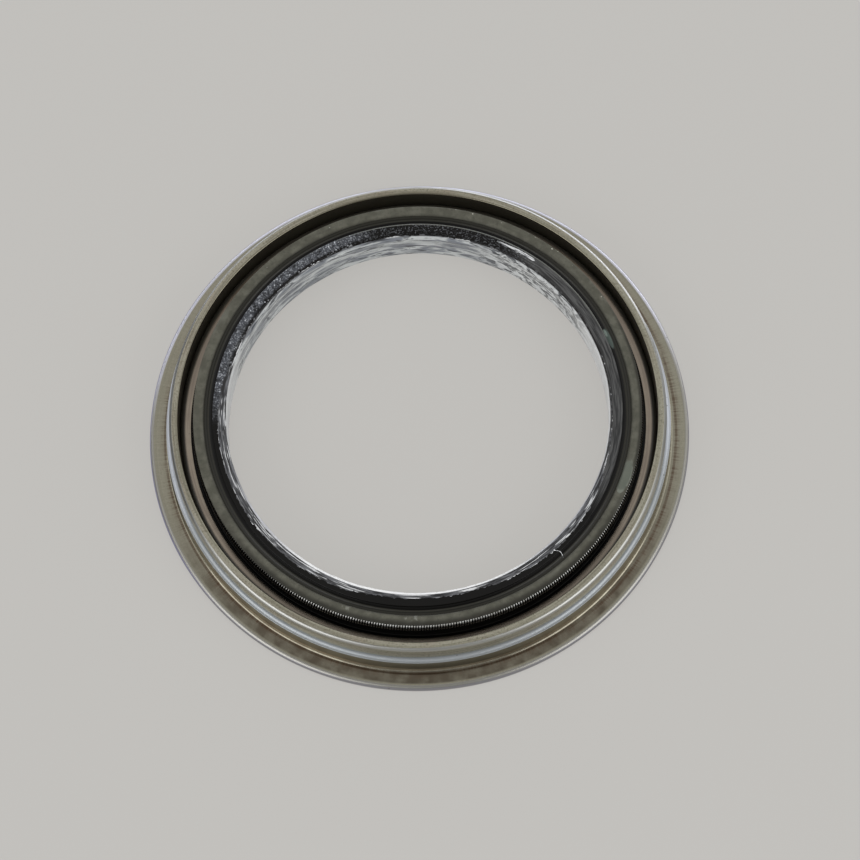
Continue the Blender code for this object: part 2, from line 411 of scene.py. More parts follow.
def make_bore_grease():
    """Grease wiped round the bore: a ragged front, a thin film to the dust lip, a roll at the near edge.

    A strip is turned first, and then each of its points on the seen side is moved to its place.
    """
    distances = []
    for row in range(FRONT_ROWS):
        distances.append(GREASE_START_WAY + (SEALING_EDGE_WAY - GREASE_START_WAY) * row / FRONT_ROWS)
    for row in range(BORE_ROWS + 1):
        distances.append(SEALING_EDGE_WAY + (GREASE_END_WAY - SEALING_EDGE_WAY) * row / BORE_ROWS)
    seen = [on_the_way(distance, 0.05 * MM) for distance in distances]
    buried = [
        (25.3 * MM, 2.6 * MM),
        (25.65 * MM, 3.6 * MM),
        (25.65 * MM, 6.0 * MM),
        (25.35 * MM, 7.3 * MM),
    ]
    piece = draw_outline("bore_grease", [(*place, 0) for place in seen + buried])
    turn_outline(piece, steps=GREASE_RING_STEPS)
    for vertex in piece.data.vertices:
        radius, height = math.hypot(vertex.co.x, vertex.co.y), vertex.co.z
        gaps = [math.hypot(radius - place[0], height - place[1]) for place in seen]
        row = gaps.index(min(gaps))
        if gaps[row] > TURNED_POINT:
            continue
        azimuth = math.atan2(vertex.co.y, vertex.co.x)
        front = grease_front(azimuth)
        distance = distances[row]
        if row < FRONT_ROWS:
            distance = front + (SEALING_EDGE_WAY - front) * row / FRONT_ROWS
        relief = 0.05 * uneven(azimuth, distance, 8, 2.2) + 0.025 * uneven(azimuth, distance, 30, 4)
        relief *= min(1.0, distance / RELIEF_SLOPE)
        near_side = max(0.0, -math.sin(azimuth + ROLL_TURN)) ** 0.5
        roll = ROLL_HEIGHT * near_side * math.exp(-((distance / MM - ROLL_WAY) / ROLL_WIDTH) ** 2)
        cover = min(1.0, (distance - front) / FRONT_SLOPE)
        proud = -BURIED_EDGE * MM + (FILM_HEIGHT + relief + roll) * cover * MM
        if row == len(seen) - 1:
            proud = 0.0
        radius, height = on_the_way(distance, proud)
        height = min(height, GREASE_TOP)
        vertex.co = (radius * math.cos(azimuth), radius * math.sin(azimuth), height)
    bpy.ops.object.shade_smooth()
    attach(piece, "root")
    return piece


def make_grease_pad(name, azimuths, distances, thickness):
    """Lay a thin pad of grease with ragged edges on the land.

    It lies between two azimuths in degrees and two distances down the way in millimetres.
    """
    middle = (distances[0] + distances[1]) / 2
    half = (distances[1] - distances[0]) / 2
    bpy.ops.object.select_all(action="DESELECT")
    bpy.ops.mesh.primitive_grid_add(x_subdivisions=120, y_subdivisions=14, size=1)
    piece = bpy.context.object
    piece.name = name
    piece.data.name = name
    bpy.ops.object.mode_set(mode="EDIT")
    bpy.ops.mesh.select_all(action="SELECT")
    bpy.ops.mesh.extrude_region_move(TRANSFORM_OT_translate={"value": (0, 0, -PAD_GRID_DEPTH)})
    bpy.ops.object.mode_set(mode="OBJECT")
    for vertex in piece.data.vertices:
        along, across, depth = vertex.co.x, vertex.co.y, vertex.co.z
        azimuth = math.radians(azimuths[0] + (azimuths[1] - azimuths[0]) * (along + 0.5))
        end_round = (1 - (2 * abs(along)) ** 6) ** 0.5
        ragged = 1 + 0.35 * uneven(azimuth, across * MM, 70, 1.5)
        distance = (middle + 2 * across * half * end_round * ragged) * MM
        crown = (1 - (2 * across) ** 2) * end_round
        proud = -0.05
        if depth > -PAD_GRID_DEPTH / 2:
            proud = -BURIED_EDGE + thickness * crown * (1 + 0.8 * uneven(azimuth, distance, 25, 5))
        radius, height = on_the_way(distance, proud * MM)
        height = min(height, GREASE_TOP)
        vertex.co = (radius * math.cos(azimuth), radius * math.sin(azimuth), height)
    bpy.ops.object.mode_set(mode="EDIT")
    bpy.ops.mesh.select_all(action="SELECT")
    bpy.ops.mesh.remove_doubles(threshold=WELD_DISTANCE)
    bpy.ops.mesh.normals_make_consistent(inside=False)
    bpy.ops.object.mode_set(mode="OBJECT")
    bpy.ops.object.shade_smooth()
    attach(piece, "root")
    return piece


def make_fibre(name, places):
    """Leave a fine fibre stuck in the grease.

    Its places are given as (azimuth in degrees, radius and height in millimetres).
    """
    curve, line = start_strand(name, "NURBS", len(places), FIBRE_DIAMETER)
    curve.use_fill_caps = True
    for point, (azimuth, radius, height) in zip(line.points, places):
        turn = math.radians(azimuth)
        point.co = (radius * math.cos(turn) * MM, radius * math.sin(turn) * MM, height * MM, 1)
    line.use_endpoint_u = True
    fibre = finish_strand(name, curve)
    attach(fibre, "root")
    return fibre


# Sockets of the node that mixes two colours
MIX_AMOUNT, MIX_UNDER, MIX_OVER, MIX_RESULT = 0, 6, 7, 2


def add_node(tree, kind, inputs=None, output=0, **settings):
    """Add a node with its settings, give its inputs values or links, and return one of its outputs."""
    new = tree.nodes.new(kind)
    for name, value in settings.items():
        setattr(new, name, value)
    for name, value in (inputs or {}).items():
        if isinstance(value, bpy.types.NodeSocket):
            tree.links.new(value, new.inputs[name])
        else:
            new.inputs[name].default_value = value
    return new.outputs[output]


def start_material(name, **constants):
    """Start a material, and set what is the same all over its surface on the shader's own sockets."""
    material = bpy.data.materials.new(name)
    material.use_nodes = True
    tree = material.node_tree
    shader = tree.nodes["Principled BSDF"]
    for socket, value in constants.items():
        shader.inputs[socket.replace("_", " ")].default_value = value
    return material, tree, shader


def ring_places(tree):
    """Return a point's place in millimetres, its direction from the axis, its radius and its height."""
    object_place = add_node(tree, "ShaderNodeTexCoord", output="Object")
    place = add_node(tree, "ShaderNodeVectorMath", {0: object_place, "Scale": 1000.0}, operation="SCALE")
    flat = add_node(tree, "ShaderNodeVectorMath", {0: place, 1: (1.0, 1.0, 0.0)}, operation="MULTIPLY")
    radius = add_node(tree, "ShaderNodeVectorMath", {0: flat}, output="Value", operation="LENGTH")
    turn = add_node(tree, "ShaderNodeVectorMath", {0: flat}, operation="NORMALIZE")
    height = add_node(tree, "ShaderNodeSeparateXYZ", {0: place}, output="Z")
    return place, turn, radius, height


def band(tree, value, low, high, soft):
    """Return a mask that is 1 from low to high and fades out over the soft width past each end."""
    opening = add_node(
        tree,
        "ShaderNodeMapRange",
        {"Value": value, "From Min": low - soft, "From Max": low},
        interpolation_type="SMOOTHSTEP",
    )
    closing = add_node(
        tree,
        "ShaderNodeMapRange",
        {"Value": value, "From Min": high + soft, "From Max": high},
        interpolation_type="SMOOTHSTEP",
    )
    return add_node(tree, "ShaderNodeMath", {0: opening, 1: closing}, operation="MULTIPLY")


def sector(tree, turn, azimuth, half_width, soft):
    """Return a mask that is 1 within a sector of the ring, with soft ends; angles are in degrees."""
    middle = (math.cos(math.radians(azimuth)), math.sin(math.radians(azimuth)), 0.0)
    nearness = add_node(
        tree, "ShaderNodeVectorMath", {0: turn, 1: middle}, output="Value", operation="DOT_PRODUCT"
    )
    inner = math.cos(math.radians(half_width))
    outer = math.cos(math.radians(half_width + soft))
    return add_node(
        tree,
        "ShaderNodeMapRange",
        {"Value": nearness, "From Min": outer, "From Max": inner},
        interpolation_type="SMOOTHSTEP",
    )


def patches(tree, vector, scale, low, high, detail=3.0, distortion=0.0):
    """Return a mask of irregular patches, 0 where the pattern is under low and 1 where it is over high."""
    cloud = add_node(
        tree,
        "ShaderNodeTexNoise",
        {"Vector": vector, "Scale": scale, "Detail": detail, "Distortion": distortion},
    )
    return add_node(
        tree,
        "ShaderNodeMapRange",
        {"Value": cloud, "From Min": low, "From Max": high},
        interpolation_type="SMOOTHSTEP",
    )


def specks(tree, place, spacing, size, share):
    """Return a mask of small round dots: their spacing and size in millimetres, and the share kept."""
    cells = add_node(tree, "ShaderNodeTexVoronoi", {"Vector": place, "Scale": 1.0 / spacing}).node
    near = add_node(
        tree,
        "ShaderNodeMapRange",
        {"Value": cells.outputs["Distance"], "From Min": size / spacing, "From Max": 0.4 * size / spacing},
        interpolation_type="SMOOTHSTEP",
    )
    pick = add_node(tree, "ShaderNodeSeparateColor", {0: cells.outputs["Color"]})
    kept = add_node(tree, "ShaderNodeMath", {0: pick, 1: share}, operation="LESS_THAN")
    return add_node(tree, "ShaderNodeMath", {0: near, 1: kept}, operation="MULTIPLY")


def oval_spot(tree, place, azimuth, radius, across, along):
    """Return how far a point lies from the middle of an oval on the ring: 1 at the oval's edge."""
    turn = math.radians(azimuth)
    middle = (radius * math.cos(turn), radius * math.sin(turn), 0.0)
    inside = add_node(
        tree,
        "ShaderNodeMapping",
        {"Vector": place, "Location": middle, "Rotation": (0.0, 0.0, turn), "Scale": (across, along, 1000.0)},
        vector_type="TEXTURE",
    )
    return add_node(tree, "ShaderNodeVectorMath", {0: inside}, output="Value", operation="LENGTH")


def round_the_ring(tree, turn, across, lengthwise, crosswise):
    """Return coordinates for a pattern that is drawn out round the axis; larger values make it finer."""
    across = add_node(tree, "ShaderNodeMath", {0: across, 1: crosswise}, operation="MULTIPLY")
    lifted = add_node(tree, "ShaderNodeCombineXYZ", {2: across})
    drawn = add_node(tree, "ShaderNodeVectorMath", {0: turn, "Scale": lengthwise}, operation="SCALE")
    return add_node(tree, "ShaderNodeVectorMath", {0: drawn, 1: lifted}, operation="ADD")


def lathe_lines(tree, turn, radius, height, scale):
    """Return fine lines that run round the axis, scale of them in a millimetre, and change slowly."""
    slow = add_node(tree, "ShaderNodeVectorMath", {0: turn, "Scale": 0.7}, operation="SCALE")
    slow = add_node(tree, "ShaderNodeSeparateXYZ", {0: slow}).node
    place = add_node(tree, "ShaderNodeCombineXYZ", {0: radius, 1: height, 2: slow.outputs["X"]})
    return add_node(
        tree,
        "ShaderNodeTexNoise",
        {"Vector": place, "W": slow.outputs["Y"], "Scale": scale, "Detail": 2.0, "Roughness": 0.6},
        noise_dimensions="4D",
    )


def lay_coat(tree, under, over, *masks):
    """Lay one colour or level over another, as far as all the masks allow it."""
    amount = masks[0]
    for mask in masks[1:]:
        amount = add_node(tree, "ShaderNodeMath", {0: amount, 1: mask}, operation="MULTIPLY")
    coats = []
    for coat in (under, over):
        if isinstance(coat, str):
            coat = linear(coat)
        elif isinstance(coat, float):
            coat = [coat, coat, coat, 1.0]
        coats.append(coat)
    return add_node(
        tree,
        "ShaderNodeMix",
        {MIX_AMOUNT: amount, MIX_UNDER: coats[0], MIX_OVER: coats[1]},
        output=MIX_RESULT,
        data_type="RGBA",
    )


def case_steel():
    """Bare turned steel under a thin film of old oil: satin, olive-grey, with fine lines round the axis."""
    material, tree, shader = start_material("turned_case_steel", Metallic=1.0)
    place, turn, radius, height = ring_places(tree)
    # Lathe lines, three or four in a millimetre: about three times too coarse so that they show
    lines = lathe_lines(tree, turn, radius, height, 3.5)
    bands = lathe_lines(tree, turn, radius, height, 1.1)
    light_lines = band(tree, lines, 0.6, 1.0, 0.15)
    dark_lines = band(tree, lines, 0.0, 0.38, 0.12)
    color = lay_coat(tree, "#ada795", "#b5b09e", patches(tree, place, 0.35, 0.35, 0.65, 5.0))
    color = lay_coat(tree, color, "#b3a292", patches(tree, place, 0.22, 0.5, 0.75, 4.0), 0.5)
    color = lay_coat(tree, color, "#9d9f8b", band(tree, bands, 0.55, 1.0, 0.2), 0.4)
    color = lay_coat(tree, color, "#c8c3b3", light_lines, 0.3)
    color = lay_coat(tree, color, "#817d6e", dark_lines, 0.5)
    # Fine grain of the drawn sheet, drawn about four times too coarse so that it shows
    color = lay_coat(tree, color, "#817b68", patches(tree, place, 3.4, 0.48, 0.72, 2.0), 0.6)
    color = lay_coat(tree, color, "#d0cbbe", patches(tree, place, 3.9, 0.56, 0.7, 2.0), 0.35)
    # Rim's outer corner: neutral grey, with a painted highlight behind at the right and painted shade at the
    # left and the right
    rim_corner = band(tree, radius, 32.2, 32.46, 0.1)
    top = band(tree, height, 7.2, 8.0, 0.1)
    color = lay_coat(tree, color, "#aaaaa6", rim_corner, top, 0.9)
    color = lay_coat(tree, color, "#dededc", rim_corner, top, sector(tree, turn, 45.0, 26.0, 14.0), 0.8)
    color = lay_coat(tree, color, "#6e6e6b", rim_corner, top, sector(tree, turn, 178.0, 14.0, 26.0), 0.9)
    color = lay_coat(tree, color, "#84847f", rim_corner, top, sector(tree, turn, 0.0, 10.0, 16.0), 0.9)
    # Rim's inner edge: painted shade, darker most of all behind, like the wall inside
    inner_edge = band(tree, radius, 31.0, 31.42, 0.14)
    color = lay_coat(tree, color, "#6f6a5b", inner_edge, sector(tree, turn, 105.0, 75.0, 35.0), 0.85)
    wide_edge = band(tree, radius, 31.0, 31.55, 0.4)
    color = lay_coat(tree, color, "#7f7968", wide_edge, sector(tree, turn, 90.0, 8.0, 14.0), 0.6)
    # Press-fit band: browner, duller; its step is painted bluish and light as a painted reflection, and
    # lighter still at the left and right as a painted highlight
    outside = band(tree, radius, 32.48, 34.0, 0.03)
    color = lay_coat(tree, color, "#807a6a", band(tree, height, 1.5, 4.25, 0.15), outside, 0.8)
    step = band(tree, height, 4.28, 4.95, 0.1)
    color = lay_coat(tree, color, "#a6abaf", step, outside, 0.9)
    color = lay_coat(tree, color, "#c4c8cd", step, outside, sector(tree, turn, 178.0, 12.0, 16.0))
    color = lay_coat(tree, color, "#c4c8cd", step, outside, sector(tree, turn, 8.0, 12.0, 18.0))
    # Flange: a grey-brown film that is thickest in front and towards the foot of the band
    low = band(tree, height, 0.6, 1.5, 0.3)
    flange = band(tree, radius, 33.3, 36.0, 0.1)
    color = lay_coat(tree, color, "#a5a190", low, flange, 0.7)
    cloudy = lay_coat(tree, 0.55, 1.0, patches(tree, place, 0.6, 0.3, 0.7, 4.0))
    front = sector(tree, turn, -90.0, 38.0, 45.0)
    color = lay_coat(tree, color, "#655d50", low, band(tree, radius, 33.4, 34.7, 0.35), front, cloudy)
    color = lay_coat(tree, color, "#786c5e", low, band(tree, radius, 33.4, 34.2, 0.6), cloudy, 0.15)
    # Rust round the foot of the band, further out at the right, broken by radial ticks 0.2 mm apart
    wander = round_the_ring(tree, turn, radius, 9.0, 1.2)
    drawn_out = sector(tree, turn, -5.0, 30.0, 35.0)
    rust_place = add_node(
        tree, "ShaderNodeMath", {0: drawn_out, 1: -0.35, 2: radius}, operation="MULTIPLY_ADD"
    )
    spokes = add_node(tree, "ShaderNodeVectorMath", {0: turn, "Scale": 190.0}, operation="SCALE")
    ticks = patches(tree, spokes, 1.0, 0.42, 0.66, 3.0)
    color = lay_coat(tree, color, "#7b7563", low, flange, ticks, 0.14)
    reach = patches(tree, wander, 0.8, 0.36, 0.6, 2.0)
    stain = band(tree, rust_place, 33.5, 33.85, 0.45)
    color = lay_coat(tree, color, "#6f5b4c", low, stain, ticks, reach, 0.5)
    rust_ring = band(tree, rust_place, 33.42, 33.62, 0.14)
    broken = lay_coat(tree, 0.6, 1.0, ticks)
    uneven_rust = patches(tree, wander, 1.0, 0.25, 0.5, 5.0)
    color = lay_coat(tree, color, "#594636", low, rust_ring, broken, uneven_rust, 0.8)
    # Foot of the band: a lighter fillet, a painted highlight that is brightest in front at the left
    foot = band(tree, height, 1.45, 1.92, 0.1)
    foot_side = band(tree, radius, 33.0, 33.2, 0.05)
    color = lay_coat(tree, color, "#aaa28e", foot, foot_side, 0.9)
    color = lay_coat(tree, color, "#cdc5b0", foot, foot_side, sector(tree, turn, 248.0, 28.0, 14.0), 0.9)
    # Flange's outer edge: neutral, faintly violet, with a painted highlight behind
    flange_edge = band(tree, radius, 35.15, 36.0, 0.15)
    color = lay_coat(tree, color, "#9a9996", flange_edge, 0.7)
    color = lay_coat(tree, color, "#dcdce6", flange_edge, sector(tree, turn, 92.0, 62.0, 22.0), 0.85)
    tip = band(tree, radius, 35.48, 36.0, 0.07)
    color = lay_coat(tree, color, "#9a9aaa", tip, 0.5)
    color = lay_coat(tree, color, "#9696b8", tip, sector(tree, turn, 176.0, 26.0, 18.0), 0.7)
    # Inner wall of the sleeve: darker, a painted shade of the dark pocket it faces
    inside = band(tree, radius, 30.0, 31.42, 0.06)
    below_rim = band(tree, height, 0.0, 7.45, 0.15)
    color = lay_coat(tree, color, "#7a7566", inside, below_rim)
    color = lay_coat(tree, color, "#524c41", specks(tree, place, 1.3, 0.13, 0.3), 0.7)
    tree.links.new(color, shader.inputs["Base Color"])
    rough = lay_coat(tree, 0.2, 0.26, lines)
    walls = band(tree, height, 1.6, 7.55, 0.1)
    rough = lay_coat(tree, rough, 0.32, walls)
    rough = lay_coat(tree, rough, 0.33, rim_corner, top)
    rough = lay_coat(tree, rough, 0.14, low, flange)
    rough = lay_coat(tree, rough, 0.42, band(tree, height, 1.5, 4.25, 0.15), outside)
    rough = lay_coat(tree, rough, 0.34, band(tree, radius, 35.1, 36.0, 0.1))
    rough = lay_coat(tree, rough, 0.48, step, outside)
    rough = lay_coat(tree, rough, 0.45, foot, foot_side)
    rough = lay_coat(tree, rough, 0.5, inside, below_rim)
    tree.links.new(rough, shader.inputs["Roughness"])
    bump = add_node(tree, "ShaderNodeBump", {"Height": lines, "Strength": 1.0, "Distance": 0.001 * MM})
    tree.links.new(bump, shader.inputs["Normal"])
    return material


def insert_steel():
    """Bare pressed sheet with a faint pinkish-brown heat tint, satin, with painted black shade in its outer
    corner.
    """
    material, tree, shader = start_material("pressed_insert_steel")
    place, turn, radius, height = ring_places(tree)
    lines = lathe_lines(tree, turn, radius, height, 3.0)
    color = lay_coat(tree, "#9e9284", "#a89d8e", patches(tree, place, 0.5, 0.3, 0.7, 4.0))
    color = lay_coat(tree, color, "#85796e", band(tree, lines, 0.0, 0.4, 0.12), 0.5)
    color = lay_coat(tree, color, "#645c53", specks(tree, place, 1.6, 0.14, 0.3), 0.7)
    # Painted shade: darker in front and behind
    color = lay_coat(tree, color, "#7d7469", sector(tree, turn, -90.0, 40.0, 25.0), 0.8)
    color = lay_coat(tree, color, "#867b70", sector(tree, turn, 90.0, 62.0, 24.0), 0.7)
    # Painted shade in the corner beside the sleeve: black and not metallic
    shaded_corner = band(tree, radius, 30.82, 32.0, 0.36)
    color = lay_coat(tree, color, "#3b3831", shaded_corner)
    tree.links.new(color, shader.inputs["Base Color"])
    tree.links.new(lay_coat(tree, 1.0, 0.0, shaded_corner), shader.inputs["Metallic"])
    tree.links.new(lay_coat(tree, 0.18, 0.24, lines), shader.inputs["Roughness"])
    return material


def lip_rubber():
    """Moulded nitrile rubber: dull olive bloom on the end face, wet black elsewhere."""
    material, tree, shader = start_material("moulded_nitrile_rubber", Specular_IOR_Level=0.2)
    place, turn, radius, height = ring_places(tree)
    face = band(tree, radius, 28.28, 30.0, 0.72)
    raised = band(tree, height, 8.2, 9.0, 0.12)
    mottle = patches(tree, place, 0.9, 0.35, 0.7, 5.0)
    bloom = lay_coat(tree, "#515046", "#626156", mottle)
    bloom = lay_coat(tree, bloom, "#43423a", patches(tree, place, 2.6, 0.5, 0.75, 2.0), 0.5)
    drift = round_the_ring(tree, turn, radius, 5.0, 0.8)
    bloom = lay_coat(tree, bloom, "#707066", patches(tree, drift, 1.0, 0.55, 0.75, 4.0), 0.5)
    # Painted shade on the outer edge, in front and at the right
    front_edge = band(tree, radius, 29.15, 30.0, 0.75)
    bloom = lay_coat(tree, bloom, "#26251f", front_edge, sector(tree, turn, -90.0, 45.0, 30.0), 0.85)
    side_edge = band(tree, radius, 29.12, 30.0, 0.36)
    bloom = lay_coat(tree, bloom, "#26251f", side_edge, sector(tree, turn, 0.0, 14.0, 14.0), 0.8)
    # Oval of drying oil at the right, with a pale rim that is a painted highlight
    oval = oval_spot(tree, place, 336.8, 28.4, 0.78, 2.4)
    bloom = lay_coat(tree, bloom, "#676d63", band(tree, oval, -1.0, 0.75, 0.3), 0.65)
    bloom = lay_coat(tree, bloom, "#83887e", band(tree, oval, 0.88, 0.98, 0.1), mottle, 0.6)
    # Whitish smudges where fingers wiped the face
    smudge = patches(tree, place, 2.2, 0.5, 0.66, 4.0)
    for azimuth, middle, across, strength in ((264.7, 28.3, 0.6, 0.8), (248.0, 28.2, 0.5, 0.7)):
        finger = band(tree, oval_spot(tree, place, azimuth, middle, across, 1.3), -1.0, 0.6, 0.4)
        bloom = lay_coat(tree, bloom, "#83837a", finger, smudge, strength)
    bloom = lay_coat(tree, bloom, "#a9a9a0", specks(tree, place, 1.7, 0.14, 0.3), 0.8)
    dust = specks(tree, place, 0.42, 0.13, 0.45)
    rim_dust = band(tree, radius, 28.95, 29.2, 0.1)
    bloom = lay_coat(tree, bloom, "#d2d0c2", rim_dust, dust, sector(tree, turn, 52.0, 20.0, 8.0), 0.9)
    # The trough's floor is dull beside the face
    color = lay_coat(tree, "#0d0c0a", "#2d2c26", band(tree, radius, 27.62, 28.0, 0.16))
    color = lay_coat(tree, color, bloom, face, raised)
    # Fine ridge in the trough, lighter all round: a painted highlight
    ridge = band(tree, radius, 27.24, 27.42, 0.1)
    color = lay_coat(tree, color, "#2e2d27", ridge)
    # Land: greasy streaks at the right, lighter as a painted reflection; a grey line on the corner behind, a
    # painted highlight
    land = band(tree, radius, 25.2, 26.7, 0.1)
    streaks = patches(tree, round_the_ring(tree, turn, radius, 9.0, 6.0), 1.0, 0.38, 0.66, 5.0, 0.3)
    haze_and_reflection = lay_coat(tree, "#313131", "#595958", streaks)
    color = lay_coat(tree, color, haze_and_reflection, land, sector(tree, turn, 12.0, 36.0, 14.0), raised)
    corner = band(tree, radius, 26.64, 26.85, 0.1)
    color = lay_coat(tree, color, "#74756f", corner, sector(tree, turn, 72.0, 38.0, 24.0), raised, 0.85)
    # Greenish smear of oil beside the ridge at the right
    smear = oval_spot(tree, place, 17.6, 27.05, 0.34, 1.7)
    color = lay_coat(tree, color, "#5a6660", band(tree, smear, -1.0, 0.7, 0.3), 0.75)
    smear_top = oval_spot(tree, place, 19.6, 26.95, 0.2, 0.7)
    color = lay_coat(tree, color, "#8f9c93", band(tree, smear_top, -1.0, 0.6, 0.4), 0.7)
    # Froth of droplets over the outer part of the land, at the left and behind, as coarse as needed to show
    froth = patches(tree, place, 1.3, 0.2, 0.62, 5.0)
    left_land = sector(tree, turn, 138.0, 28.0, 14.0)
    outer_land = band(tree, radius, 25.9, 27.0, 0.5)
    grain = patches(tree, place, 4.6, 0.5, 0.64, 3.0)
    color = lay_coat(tree, color, "#4b4d52", outer_land, left_land, froth, raised, land)
    color = lay_coat(tree, color, "#8e9195", outer_land, left_land, froth, raised, grain, land)
    bubbles = specks(tree, place, 0.42, 0.12, 0.5)
    color = lay_coat(tree, color, "#cfd2d6", land, left_land, froth, raised, bubbles)
    back_land = sector(tree, turn, 82.0, 26.0, 10.0)
    color = lay_coat(tree, color, "#85888c", land, back_land, froth, raised, grain, 0.4)
    # Strokes that the shaft wiped on at the left
    strokes = patches(tree, round_the_ring(tree, turn, radius, 12.0, 6.0), 1.0, 0.52, 0.66, 4.0)
    wiped = band(tree, radius, 25.2, 25.9, 0.2)
    color = lay_coat(tree, color, "#7b7d7e", wiped, sector(tree, turn, 192.0, 32.0, 14.0), raised, strokes)
    tree.links.new(color, shader.inputs["Base Color"])
    rough = lay_coat(tree, 0.25, 0.6, face, raised)
    rough = lay_coat(tree, rough, 0.2, land)
    tree.links.new(rough, shader.inputs["Roughness"])
    ripple = add_node(tree, "ShaderNodeTexNoise", {"Vector": place, "Scale": 1.6, "Detail": 4.0})
    wet = lay_coat(tree, ripple, 1.0, bubbles, land)
    bump = add_node(tree, "ShaderNodeBump", {"Height": wet, "Strength": 0.6, "Distance": 0.01 * MM})
    tree.links.new(bump, shader.inputs["Normal"])
    return material


def spring_wire():
    """Bright drawn spring wire: hard glints on the crests of the turns, painted black shade between them."""
    material, tree, shader = start_material("drawn_spring_wire", Metallic=1.0, Roughness=0.3)
    place, turn, radius, height = ring_places(tree)
    color = lay_coat(tree, "#bcbcb8", "#97958f", patches(tree, place, 0.8, 0.4, 0.7, 2.0))
    # Painted shade between the turns: how near a point is to a crest follows from its turns round ring and
    # coil
    parts = add_node(tree, "ShaderNodeSeparateXYZ", {0: turn}).node
    round_ring = add_node(
        tree, "ShaderNodeMath", {0: parts.outputs["Y"], 1: parts.outputs["X"]}, operation="ARCTAN2"
    )
    out = add_node(tree, "ShaderNodeMath", {0: radius, 1: WIRE_RING_RADIUS / MM}, operation="SUBTRACT")
    up = add_node(tree, "ShaderNodeMath", {0: height, 1: SPRING_HEIGHT / MM}, operation="SUBTRACT")
    round_coil = add_node(tree, "ShaderNodeMath", {0: up, 1: out}, operation="ARCTAN2")
    winding = add_node(
        tree,
        "ShaderNodeMath",
        {0: round_ring, 1: -float(COIL_TURNS), 2: round_coil},
        operation="MULTIPLY_ADD",
    )
    crest = add_node(tree, "ShaderNodeMath", {0: winding}, operation="COSINE")
    color = lay_coat(tree, "#1c1a17", color, band(tree, crest, 0.35, 2.0, 0.7))
    # Painted shade over the whole spring at the left, where it starts to show
    color = lay_coat(tree, color, "#1c1a17", sector(tree, turn, 200.0, 22.0, 14.0), 0.9)
    tree.links.new(color, shader.inputs["Base Color"])
    return material


def grease():
    """Old grease wiped round the bore: pale, wet, in thin wisps that let the black rubber show."""
    material, tree, shader = start_material("wiped_bearing_grease", Roughness=0.28)
    _, turn, radius, height = ring_places(tree)
    parts = add_node(tree, "ShaderNodeSeparateXYZ", {0: turn}).node
    # Arc length round the bore, with its seam in front, where the wall is hidden
    angle = add_node(
        tree, "ShaderNodeMath", {0: parts.outputs["X"], 1: parts.outputs["Y"]}, operation="ARCTAN2"
    )
    arc = add_node(tree, "ShaderNodeMath", {0: angle, 1: SEALING_RADIUS / MM}, operation="MULTIPLY")
    wall = add_node(tree, "ShaderNodeCombineXYZ", {0: arc, 1: height})
    wisps = add_node(tree, "ShaderNodeVectorMath", {0: wall, 1: (0.22, 1.1, 1.0)}, operation="MULTIPLY")
    thick = patches(tree, wisps, 1.0, 0.42, 0.58, 5.0, 0.8)
    color = lay_coat(tree, "#7c8086", "#c6c9c8", thick)
    # Long dark strokes where the shaft wiped the grease thin
    strokes = add_node(tree, "ShaderNodeVectorMath", {0: wall, 1: (0.3, 1.7, 2.0)}, operation="MULTIPLY")
    color = lay_coat(tree, color, "#34373d", patches(tree, strokes, 1.0, 0.555, 0.64, 4.0, 1.0), 0.9)
    threads = add_node(tree, "ShaderNodeVectorMath", {0: wall, 1: (0.5, 3.2, 5.0)}, operation="MULTIPLY")
    color = lay_coat(tree, color, "#3b3e44", patches(tree, threads, 1.0, 0.57, 0.64, 3.0, 0.8), 0.8)
    # Short choppy dabs behind at the right, white and nearly black
    dabs = add_node(tree, "ShaderNodeVectorMath", {0: wall, 1: (0.6, 1.4, 9.0)}, operation="MULTIPLY")
    choppy = lay_coat(tree, "#24272c", "#e3e5e4", patches(tree, dabs, 1.0, 0.42, 0.56, 4.0, 1.2))
    behind = sector(tree, turn, 34.0, 20.0, 20.0)
    color = lay_coat(tree, color, choppy, behind, 0.75)
    # Pale at both sides, where the wall is seen edge-on
    color = lay_coat(tree, color, "#dadbda", sector(tree, turn, -4.0, 22.0, 16.0), 0.85)
    color = lay_coat(tree, color, "#dadbda", sector(tree, turn, 184.0, 18.0, 14.0), 0.7)
    # On the land the film is thin and dark, with bright threads
    land = band(tree, height, 7.95, 9.0, 0.12)
    film_streaks = patches(tree, round_the_ring(tree, turn, radius, 12.0, 5.0), 1.0, 0.4, 0.66, 4.0)
    film = lay_coat(tree, "#1f1f20", "#66676a", film_streaks)
    bright_threads = patches(tree, round_the_ring(tree, turn, radius, 8.0, 6.0), 1.0, 0.55, 0.64, 3.0)
    film = lay_coat(tree, film, "#d6d7d7", bright_threads)
    color = lay_coat(tree, color, film, land)
    dark_line = band(tree, height, 7.86, 8.12, 0.06)
    color = lay_coat(tree, color, "#1a1a1c", dark_line, sector(tree, turn, 8.0, 32.0, 14.0), 0.9)
    # The roll that hangs in the bore at the near edge is white, whitest in front as a painted highlight where
    # it catches the light
    roll = band(tree, radius, 20.0, 25.1, 0.12)
    upper = band(tree, height, 7.4, 9.0, 0.2)
    color = lay_coat(tree, color, "#bdbdc0", upper, roll, sector(tree, turn, 270.0, 60.0, 20.0))
    color = lay_coat(tree, color, "#f7f7f5", upper, roll, sector(tree, turn, 262.0, 26.0, 22.0))
    tree.links.new(color, shader.inputs["Base Color"])
    relief = add_node(tree, "ShaderNodeTexNoise", {"Vector": strokes, "Scale": 1.0, "Detail": 4.0})
    bump = add_node(tree, "ShaderNodeBump", {"Height": relief, "Strength": 0.8, "Distance": 0.08 * MM})
    tree.links.new(bump, shader.inputs["Normal"])
    return material


